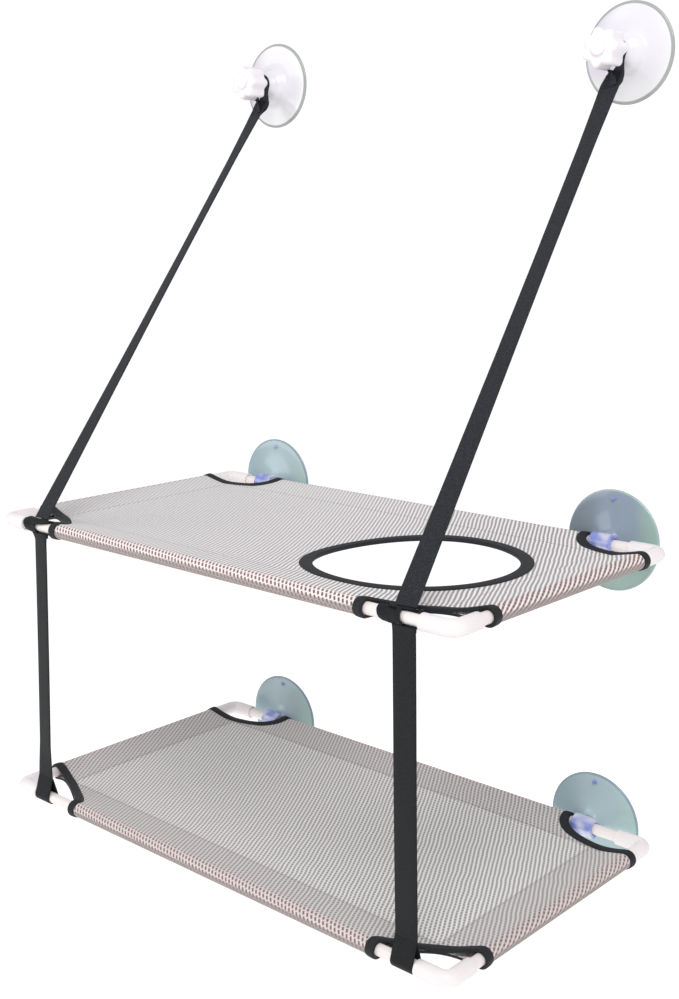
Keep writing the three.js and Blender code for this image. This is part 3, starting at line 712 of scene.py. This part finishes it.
for level in levels:
    lift = middle_of(f"{level}_front_tube")[2]
    for corner in cuts[level]:
        path, side, up = corner_path(level, corner)
        turn = np.array([1 if "left" in corner else -1, 1 if "front" in corner else -1, 1])
        start = np.array([-turn[0] * deck_half, back_y - (deck_depth if "front" in corner else 0), lift])
        name = f"{level}_{corner}_tape"
        tape = swept(name, start + path * turn, side * turn, up * turn, tape_outside, ring=True)
        fitted(name, tape, tape_cloth, f"{level}_deck", [f"{level}_{corner}_binding"])

# The hole's tape is wider, and has a second flange under the cloth
wide_tape = tape_outside * np.where(tape_outside[:, :1] > 0.001, (1.36, 1), (1, 1))
under_flange = wide_tape[7:15] * (1, -1) - (0, 0.85 * cloth_thickness)
under_fold = [(-0.0002, -0.0027), (-0.0009, -0.0020), (-0.0013, -0.0012)]
tape_round = np.concatenate([wide_tape[3:], under_flange[::-1], under_fold])
hole_steps = 160
reach = 0.001
angle = np.linspace(0, 2 * math.pi, hole_steps, endpoint=False)
outward = np.column_stack([np.cos(angle), np.sin(angle)])
spot = np.array([hole_x, -hole_to_back]) + hole_radius * outward
gradient = np.column_stack([
    (cloth_top(*(spot + move).T, "upper") - cloth_top(*(spot - move).T, "upper")) / (2 * reach)
    for move in np.eye(2) * reach])
path = np.column_stack([spot[:, 0], spot[:, 1] + back_y, cloth_top(*spot.T, "upper")])
side = np.column_stack([outward, (outward * gradient).sum(1)])
up = np.column_stack([-gradient, np.ones(len(spot))])
hole_tape = swept("climbing_hole_tape", path, side / np.linalg.norm(side, axis=1, keepdims=True),
                  up / np.linalg.norm(up, axis=1, keepdims=True), tape_round, ring=True)
fitted("climbing_hole_tape", hole_tape, tape_cloth, "upper_deck", ["upper_hole_binding"])


# Suction cups: six soft discs of clear PVC. The four behind the decks are 104 mm across, with a barrel that a
# back tube runs through and a pull nub near the rim. The two at the top are 94 mm across, with a neck that
# holds a screw.
cup_facets = 96
cup_radii = {"deck": 52.0, "top": 47.0}
# Profiles in millimetres as distance in front of the pane and radius; rim_front gives the distance in from
# the rim instead of a radius
rim_front = [(0.0, 0.0), (0.9, 0.0), (1.5, 0.3), (1.9, 1.1), (2.15, 2.4), (2.5, 4.5), (2.85, 9.0)]
dish = [(3.3, 32.0), (4.2, 26.5), (5.2, 21.0)]
cup_under = [(2.4, 0.0), (2.4, 20.0), (1.5, 30.0), (0.5, 40.0)]
hub_neck = [(6.3, 16.6), (7.4, 13.2), (8.6, 10.9), (10.0, 9.6), (11.4, 9.1)]
screw_neck = [(7.0, 19.0), (10.0, 17.4), (13.2, 15.3), (14.8, 12.6), (15.9, 10.8), (17.4, 9.7), (19.5, 9.5),
              (33.6, 9.5), (34.0, 9.2), (34.0, 3.3), (10.4, 3.3), (10.4, 7.3), (5.4, 7.3), (5.4, 0.0)]
pane_to_tube = 0.020


def disc_profile(kind):
    """A disc's profile of (distance in front of the pane, radius): its hollow, rim and dished front."""
    radius = cup_radii[kind]
    rim = [(away, radius - inset) for away, inset in rim_front]
    return [*cup_under, (0.0, radius - 4.5), *rim, *dish]


def lathe(profile, centre, steps=cup_facets):
    """A turned grid about Y from (distance in front of the pane, radius) in millimetres."""
    return turned([(-away / 1000, radius / 1000) for away, radius in profile], "y", centre, steps)


def measured(mesh, centre):
    """Keeps each point's offset from the cup's centre on the mesh, so that a material can shade by it."""
    spots = np.empty(3 * len(mesh.vertices), np.float32)
    mesh.vertices.foreach_get("co", spots)
    offset = mesh.attributes.new("from_centre", "FLOAT_VECTOR", "POINT")
    offset.data.foreach_set("vector", (spots.reshape(-1, 3) - np.array(centre, np.float32)).ravel())
    return mesh


def cup_centre(node):
    """A cup's centre on the pane, from its CAD box."""
    x, _, z = middle_of(node)
    return x, 0.0, z


def ramp(owner, value, low, high, first, second):
    """Mixes two colours by a value that runs smoothly from low to high."""
    share = add(owner, "MapRange", {"Value": value, "From Min": low, "From Max": high},
                interpolation_type="SMOOTHSTEP")
    return add(owner, "Mix", {0: share, "A": first, "B": second}, data_type="RGBA")


def clear_pvc(name, kind, rim_width, painted_tones):
    """Soft clear PVC seen against the light, with that light and its shade painted into its colour: tones
    from left to centre and right, the right one also towards the bottom, and one for the rim, partly the
    thick rim's own grey and partly painted refraction.
    """
    radius = cup_radii[kind] / 1000
    left, centre, right, rim = (linear(tint) for tint in painted_tones)
    made = shaded(name, {"Roughness": 0.16, "IOR": 1.5, "Transmission Weight": 0.1, "Coat Weight": 0.25,
                         "Coat Roughness": 0.08})
    offset = add(made, "Attribute", attribute_name="from_centre").outputs["Vector"]
    part = add(made, "SeparateXYZ", {0: offset}).outputs
    disc = add(made, "CombineXYZ", {0: part[0], 2: part[2]})
    away = add(made, "VectorMath", {0: disc}, operation="LENGTH")
    across = ramp(made, part[0], -0.040, -0.005, left, centre)
    across = ramp(made, part[0], 0.018, 0.046, across, right)
    across = ramp(made, part[2], -0.012, -0.034, across, right)
    feed(made, {"Base Color": ramp(made, away, radius - 1.4 * rim_width, radius - rim_width, across, rim)})
    return made


# Three looks of one clear PVC, each with painted light and shade; the second is a darker copy, its darkness
# painted shade
deck_pvc = clear_pvc("clear PVC, decks", "deck", 0.0016, ("#a3bcc4", "#b6ccd2", "#b4d0cd", "#8fa6b4"))
shade_pvc = clear_pvc("clear PVC, in the shade", "deck", 0.0012, ("#7f8d98", "#93a2b3", "#9fbab2", "#a9bfc0"))
top_pvc = clear_pvc("clear PVC, top", "top", 0.0024, ("#d2cdd9", "#eeebf2", "#f4f3f6", "#a9adab"))
hub_pvc = shaded("clear PVC, hubs", {"Roughness": 0.10, "IOR": 1.5, "Transmission Weight": 0.3,
                                     "Coat Weight": 0.8})
# Thick clear PVC with a blue tint in patches of one to two centimetres, and between them nearly white:
# painted highlights
tint_and_highlight_size = 0.016
tint_and_highlight_noise = add(hub_pvc, "TexNoise", {"Vector": add(hub_pvc, "TexCoord").outputs["Object"],
                                    "Scale": 1 / tint_and_highlight_size, "Detail": 1.0})
feed(hub_pvc, {"Base Color": ramp(hub_pvc, tint_and_highlight_noise, 0.38, 0.64, linear("#95a2f0"), linear("#e6e9fe"))})

hub_radius = 0.011
hub_overlap = 0.0012
least_neck = 0.0095
barrel_round = 0.0008
barrel_half = 0.012
barrel_gap = 0.00045
nub_rise = 0.0435
nub_profile = [(2.2, 0), (2.2, 2.0), (4.6, 2.2), (5.3, 1.8), (5.6, 1.0), (5.6, 0)]
bore, shoulder = tube_radius + barrel_gap, hub_radius - barrel_round
flank = barrel_half - barrel_round
barrel_profile = [(-barrel_half, bore), (-barrel_half, shoulder), (-flank, hub_radius), (flank, hub_radius),
                  (barrel_half, shoulder), (barrel_half, bore)]
for hand in ("left", "right"):
    for level in ("middle", "lower"):
        name = f"{level}_{hand}_suction_cup"
        centre = cup_centre(name)
        grid = lathe(disc_profile("deck") + hub_neck, centre)
        ring_height = grid[-1, :, 2] - centre[2]
        on_barrel = hub_overlap - pane_to_tube + np.sqrt(hub_radius ** 2 - ring_height ** 2)
        grid[-1, :, 1] = np.minimum(on_barrel, -least_neck)
        disc = surface(name + "_disc", grid, loop=True)
        # The middle cup on the right takes the copy with painted shade
        painted_shading_pvc = shade_pvc if (level, hand) == ("middle", "right") else deck_pvc
        fitted(name + "_disc", measured(disc, centre), painted_shading_pvc, "root", [name])
        barrel = turned(barrel_profile, "x", (centre[0], -pane_to_tube, centre[2]), 64)
        nub = lathe(nub_profile, (centre[0], 0, centre[2] + nub_rise), 24)
        hub = joined(name + "_hub", [surface("barrel", barrel, loop=True, ring=True),
                                     surface("nub", nub, loop=True)])
        fitted(name + "_hub", hub, hub_pvc, "root", [name])

for hand in ("left", "right"):
    name = f"top_{hand}_suction_cup"
    centre = cup_centre(name)
    disc = surface(name + "_disc", lathe(disc_profile("top") + screw_neck, centre), loop=True)
    fitted(name + "_disc", measured(disc, centre), top_pvc, "root", [name])


# Knobs: two white plastic hand knobs with seven lobes and a raised cap, 38 mm across. Each turns on the screw
# in a top cup's neck and clamps a strap's loop on it; the threaded insert inside is pressed in from behind.
knob_steps = 210
lobes = 7
lobe_depth = 0.0036
# Moulded plastic again, from a smoother mould: a shade cooler and glossier than the elbows
knob_plastic = shaded("white knob plastic", {"Base Color": linear("#ece7ec"), "Roughness": 0.35,
                                             "Coat Weight": 0.1})
# Rows from the well at the back, over the lobes, to the cap: distance in front of the pane, radius, share of
# the lobes' depth
knob_rows = np.array([
    (52.6, 0, 0), (52.6, 3.6, 0), (48.2, 3.6, 0), (48.2, 5.3, 0), (34.3, 5.3, 0), (34.3, 12.0, 0),
    (34.3, 16.9, 1), (34.5, 17.9, 1), (35.0, 18.6, 1), (36.0, 19.0, 1), (40.0, 19.0, 1), (48.0, 19.0, 1),
    (52.6, 18.9, 1), (54.4, 18.5, 1), (55.6, 17.7, 1), (56.2, 16.4, 1), (56.3, 14.8, 1), (56.3, 9.0, 0.3),
    (56.3, 7.1, 0), (56.4, 7.0, 0), (58.2, 7.0, 0), (58.6, 6.6, 0), (58.7, 6.0, 0), (58.7, 0, 0)])
around = np.linspace(0, 2 * math.pi, knob_steps, endpoint=False)
dent = lobe_depth * (1 - np.cos(lobes * around)) / 2
for hand in ("left", "right"):
    name = f"{hand}_knob"
    grid = lathe(knob_rows[:, :2], cup_centre(f"top_{hand}_suction_cup"), knob_steps)
    grid[..., 0] -= knob_rows[:, 2:] * dent * np.cos(around)
    grid[..., 2] -= knob_rows[:, 2:] * dent * np.sin(around)
    fitted(name + "_grip", surface(name + "_grip", grid, loop=True), knob_plastic, name, [name])


# Slanted straps: black polyester webbing, 24.5 mm wide. Each loops round a top cup's neck behind the knob,
# turns flat to the front just below it, and is wrapped in a bunch round the bare end of the upper front tube.
webbing = woven("black webbing", "#4e525b", "#181a1f", 0.0011, 0.0014)
# The same webbing again, darker, for the collars and the drop straps: its darkness is painted shade
shaded_webbing = woven("black webbing, painted shade", "#2a2e33", "#101214", 0.0011, 0.0014)
strap_thickness = 0.0015
strap_width = 0.0245


def band(width, thickness):
    """The rounded section of a flat band."""
    edge = [(-0.5, 0.1), (-0.49, 0.32), (-0.46, 0.46), (-0.25, 0.5), (0, 0.5), (0.25, 0.5), (0.46, 0.46),
            (0.49, 0.32), (0.5, 0.1)]
    both = np.array(edge + [(x, -z) for x, z in reversed(edge)])
    return both * (width, thickness)


def unit(vectors):
    """Vectors made one long."""
    return vectors / np.linalg.norm(vectors, axis=-1, keepdims=True)


def strip(name, path, side, widths, thickness=strap_thickness, ring=False):
    """Webbing along a path: side leans the width, widths gives it for every row."""
    heading = unit(np.roll(path, -1, 0) - np.roll(path, 1, 0) if ring else np.gradient(path, axis=0))
    side = unit(side - (side * heading).sum(1, keepdims=True) * heading)
    up = np.cross(heading, side)
    sections = np.stack([band(width, thickness) for width in np.broadcast_to(widths, len(path))])
    return swept(name, path, side, up, sections, ring=ring)


def curve(points, count):
    """A smooth curve through points (Catmull-Rom), count rows in all, spread evenly by length."""
    points = np.array(points, float)
    ends = np.concatenate([[2 * points[0] - points[1]], points, [2 * points[-1] - points[-2]]])
    spans = []
    for a, b, c, d in zip(ends, ends[1:], ends[2:], ends[3:]):
        t = np.linspace(0, 1, 24, endpoint=False)[:, None]
        spans.append(0.5 * (2 * b + (c - a) * t + (2 * a - 5 * b + 4 * c - d) * t ** 2
                            + (3 * b - a - 3 * c + d) * t ** 3))
    dense = np.concatenate([*spans, points[-1:]])
    run = lengths(dense, False)
    even = np.linspace(0, run[-1], count)
    return np.column_stack([np.interp(even, run, dense[:, k]) for k in range(dense.shape[1])])


front_y = back_y - deck_depth
fold_limit = math.radians(80)
# The planes of the straps' upper ends and of the loops round the necks, and where a run starts below its neck
neck_y = -0.0257
loop_y = -0.0287
run_drop = 0.0205
gathered_width = 0.018
gathered_run = 0.012
foot_back = 0.0035
foot_rise = 0.0082
neck_thickness = 0.0012
crossing_outside = 0.0030
crossing_inside = 0.0020
# Distance down the strap in metres, and the angle in degrees by which it is twisted there
twist = ([0, 0.03, 0.08, 0.20, 0.30, 0.40, 0.47, 0.53], [-8, -14, -19, -20, -17.5, -13, -9, -5])
collar_centre = {"left": -0.2555, "right": 0.23575}
hook_radius = bare_radius + 0.0009
strap_foot = {"left": -0.2465, "right": 0.2478}
for hand in ("left", "right"):
    cup_x, _, cup_z = cup_centre(f"top_{hand}_suction_cup")
    node = f"{hand}_slanted_strap"
    top = np.array([cup_x, neck_y, cup_z - run_drop])
    aim = np.array([strap_foot[hand], front_y + foot_back, foot_rise])
    down = unit(aim - top)
    length = np.linalg.norm(aim - top)
    across = unit(np.array([1, 0, 0]) - down[0] * down)
    lean = np.cross(down, across)
    if lean[1] < 0:
        lean = -lean
    run = np.linspace(0, length, 100)
    path = top + run[:, None] * down
    turn = np.radians(np.interp(run, *twist))
    side = np.cos(turn)[:, None] * across + np.sin(turn)[:, None] * lean
    wide = np.interp(run, [0, gathered_run], [gathered_width, strap_width])
    body = strip(node + "_run", path, side, wide)
    piece = fitted(node + "_run", body, webbing, "root", [node])
    foot_vector = np.array([0, front_y - back_y, 0.0])
    folded = np.array([0, foot_vector[1] * math.cos(fold_limit), -foot_vector[1] * math.sin(fold_limit)])
    travel = foot_vector - folded
    axis = unit(travel)
    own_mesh(piece)

    # The loop: two legs that part inside the run's upper end and meet over the neck
    ring_radius = 0.0106
    bow = np.radians(np.linspace(-30, 210, 25))
    arc = np.column_stack([ring_radius * np.cos(bow), 0 * bow, ring_radius * np.sin(bow)])
    leg = [(0.0008, 0.0, -0.034), (0.0016, 0.0, -0.0295), (0.0032, 0.0, -0.0245), (0.0078, -0.0003, -0.0125)]
    loop = curve(leg + arc[::3].tolist() + [(-x, -y, z) for x, y, z in reversed(leg)], 90)
    below = np.maximum(0, -run_drop - loop[:, 2])
    turn = np.radians(np.interp(below / -down[2], *twist))
    flat = np.cos(turn)[:, None] * across + np.sin(turn)[:, None] * lean
    share = np.interp(loop[:, 2], [-0.036, -0.010], [0, 1])[:, None]
    lay = (1 - share) * flat + share * np.where(loop[:, :1] >= 0, 1, -1) * (0, 1, 0)
    wide = np.interp(loop[:, 2], [-0.040, -0.014], [strap_width - 0.0005, 0.010])
    loop = loop + below[:, None] * (down / -down[2]) * (1, 1, 0)
    loop[:, 1] += share[:, 0] * (loop_y - neck_y)
    neck = strip(node + "_neck_loop", loop + (cup_x, neck_y, cup_z), lay, wide, neck_thickness)
    fitted(node + "_neck_loop", neck, webbing, "root", [node])

    # The collar: a bunched ring from its outer end to the hook, whose last part laps over the hook
    facets = 72
    spin = np.linspace(0, 2 * math.pi, facets, endpoint=False)
    outer_end, lap_start, lap_end = -0.0105, 0.0112, (0.0118 if hand == "left" else 0.0158)
    plain, lapped = np.linspace(outer_end, lap_start, 30), np.linspace(lap_start, lap_end, 9)
    stations = np.concatenate([plain, lapped[1:]])[:, None]
    fold = np.cos(spin + 140 * stations - 0.9) ** 2 + 0.35 * np.sin(2 * spin - 380 * stations)
    to_end = np.minimum(stations - outer_end, lap_end - stations)
    lap = np.clip((stations - lap_start + 0.0012) / 0.0012, 0, 1)
    bore = bare_radius + 0.0003 + 0.0017 * lap
    reach = bore + np.sqrt(np.clip(to_end / 0.0014, 0.02, 1)) * (0.0007 + 0.0006 * fold)
    skew = stations - 0.0022 * np.sin(spin)
    outer = np.stack([skew, reach * np.cos(spin), reach * np.sin(spin)], -1)
    inner = np.stack([skew, bore * np.cos(spin), bore * np.sin(spin)], -1)[::-2]
    grid = np.concatenate([outer, inner]) + (collar_centre[hand], front_y, 0)
    around = lengths(grid[8], True)
    run = lengths(grid[:, 0], True)
    collar = surface(node + "_collar", grid, loop=True, ring=True, across=around, along=run)
    # The crossing: where the strap passes over the tube's top towards the hook
    arc = np.radians(np.linspace(26, 165, 22) if hand == "left" else np.linspace(70, 165, 22))
    start, stop = (-0.008, 0.0300) if hand == "left" else (-0.002, 0.0262)
    stations = np.linspace(start, stop, 26)[:, None]
    middle, spread = arc.mean(), (arc - arc.mean())
    taper = 0.55 + 0.45 * np.sin(math.pi * (stations - start) / (stop - start)) ** 0.6
    angle = middle - 0.22 + 0.5 * (stations - start) / (stop - start) + taper * spread
    ripple = 0.0003 * np.sin(5 * angle + 300 * stations)
    shell = [bare_radius + crossing_outside + ripple, np.full(angle.shape, bare_radius + crossing_inside)]
    edges = [np.stack([stations + 0 * angle, -radius * np.cos(angle), radius * np.sin(angle)], -1)
             for radius in shell]
    grid = np.concatenate([edges[0], edges[1][:, ::-1]], 1) + (collar_centre[hand], front_y, 0)
    crossing = surface(node + "_crossing", grid, loop=True, caps=True, across=lengths(grid[8], True),
                       along=lengths(grid[:, 0], False))
    fitted(node + "_collar", joined(node + "_collar", [collar, crossing]), shaded_webbing, "upper_deck",
           [node])


# Drop straps: the same webbing, in its darker copy whose darkness is painted shade. Each is hooked over and
# behind the upper front tube, comes out under it on the room side, hangs beside the elbow and ends in a loop
# round the lower front tube, which it carries.
lower_z = middle_of("lower_front_tube")[2]
foot_x = {"left": -0.2552, "right": 0.2552}
hook_thickness = 0.0012
loop_thickness = 0.0013
seam_height = 0.023
for hand in ("left", "right"):
    node = f"{hand}_drop_strap"
    hook_left, hook_right = collar_centre[hand] + 0.0132, collar_centre[hand] + 0.0305
    hook_x, hook_width = (hook_left + hook_right) / 2, hook_right - hook_left
    at, drift = hook_right - strap_width / 2, foot_x[hand] - hook_right + strap_width / 2
    seam = hook_radius
    bow = np.radians(np.linspace(90, -136, 40))
    hook_path = np.column_stack([0 * bow + hook_x, front_y + seam * np.cos(bow), seam * np.sin(bow)])
    hook_end = curve([hook_path[-1], (hook_x, front_y - 0.0049, -0.0068),
                      (hook_x, front_y - 0.0051, -0.0092)], 6)
    hook_path = np.concatenate([hook_path, hook_end[1:]])
    hook = strip("hook", hook_path, np.tile((1.0, 0, 0), (len(hook_path), 1)), hook_width, hook_thickness)
    run_path = curve([(at, front_y - 0.0066, -0.0052), (at, front_y - 0.0058, -0.0095),
                      (at + 0.02 * drift, front_y - 0.0053, -0.020),
                      (at + 0.25 * drift, front_y - 0.004, -0.085),
                      (at + 0.55 * drift, front_y - 0.0025, -0.168),
                      (foot_x[hand], front_y, lower_z + 0.035),
                      (foot_x[hand], front_y, lower_z + 0.0205)], 120)
    share = np.interp(run_path[:, 2], [lower_z + 0.02, lower_z + 0.06, -0.013, -0.005], [0, 1, 1, 0])
    turn = np.radians((-9 if hand == "left" else 0.5) * share)
    run = strip("run", run_path, np.column_stack([np.cos(turn), np.sin(turn), 0 * turn]), strap_width)
    # The foot: both layers part at the seam, run down to the tube and go round it
    touch = math.asin(seam / seam_height)
    bow = np.linspace(touch, -math.pi - touch, 44)
    legs = np.linspace(0, 1, 10)[1:-1, None]
    tube_part = np.column_stack([seam * np.cos(bow), seam * np.sin(bow)])
    apex = np.array([0, seam_height])
    loop_path = np.concatenate([[apex], apex + legs * (tube_part[0] - apex), tube_part,
                                tube_part[-1] + legs * (apex - tube_part[-1])])
    loop_path = np.column_stack([np.full(len(loop_path), foot_x[hand]), front_y + loop_path[:, 0],
                                 lower_z + loop_path[:, 1]])
    loop = strip("loop", loop_path, np.tile((1.0, 0, 0), (len(loop_path), 1)), strap_width, loop_thickness,
                 ring=True)
    fitted(node + "_webbing", joined(node + "_webbing", [hook, run, loop]), shaded_webbing, f"{hand}_strap",
           [node])
